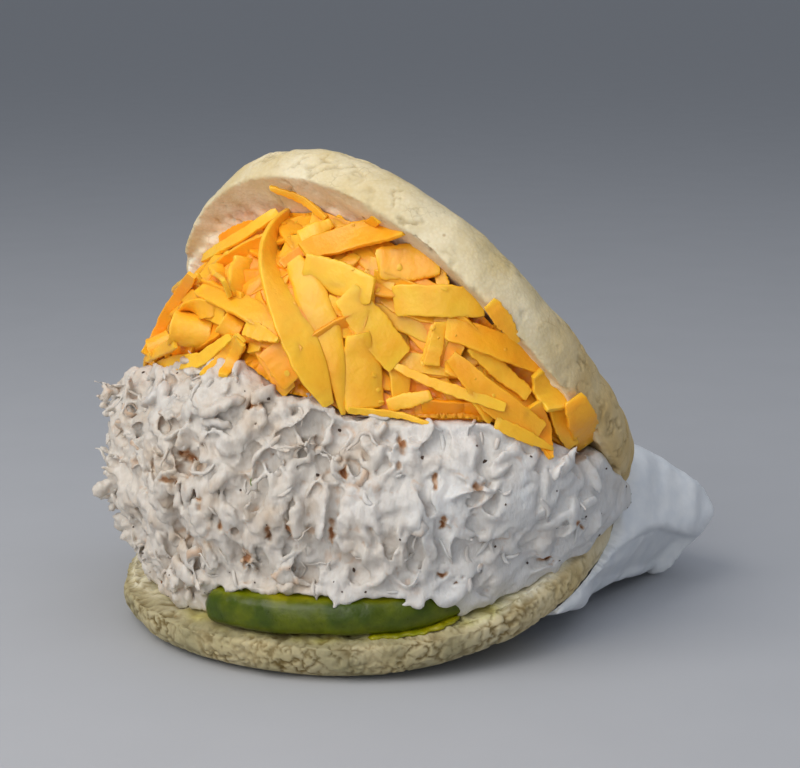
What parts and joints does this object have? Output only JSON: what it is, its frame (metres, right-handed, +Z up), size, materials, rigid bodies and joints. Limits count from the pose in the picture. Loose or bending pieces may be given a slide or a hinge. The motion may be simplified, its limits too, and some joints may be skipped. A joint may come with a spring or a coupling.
{
  "type": "split arepa corn cake",
  "caption": "Round corn cake split and opened like a book, filled with shredded chicken salad, shredded cheese and avocado, with a paper wrap round its closed back.",
  "frame": {"origin": "middle of the footprint at the level of the table it rests on", "axes": "+Z up; -X the open mouth, +X the hinge and the paper tail; -Y the near side of the mouth"},
  "size_m": [0.1356, 0.1234, 0.1072],
  "materials": {
    "corn_cake": "dry crumbly corn dough, pale cream with a few toasted specks",
    "chicken_salad": "moist shreds of white meat in a thin pale dressing",
    "shredded_cheese": "soft satin, orange yellow",
    "avocado": "wet, peeled green outside paling to yellow green inside",
    "paper": "thin white greaseproof paper, lightly creased"
  },
  "bodies": {
    "root": {"corn_cake": "corn_cake", "chicken_salad": "chicken_salad", "shredded_cheese": "shredded_cheese", "avocado_front": "avocado", "avocado_back": "avocado", "paper_wrap": "paper"}
  },
  "joints": []
}
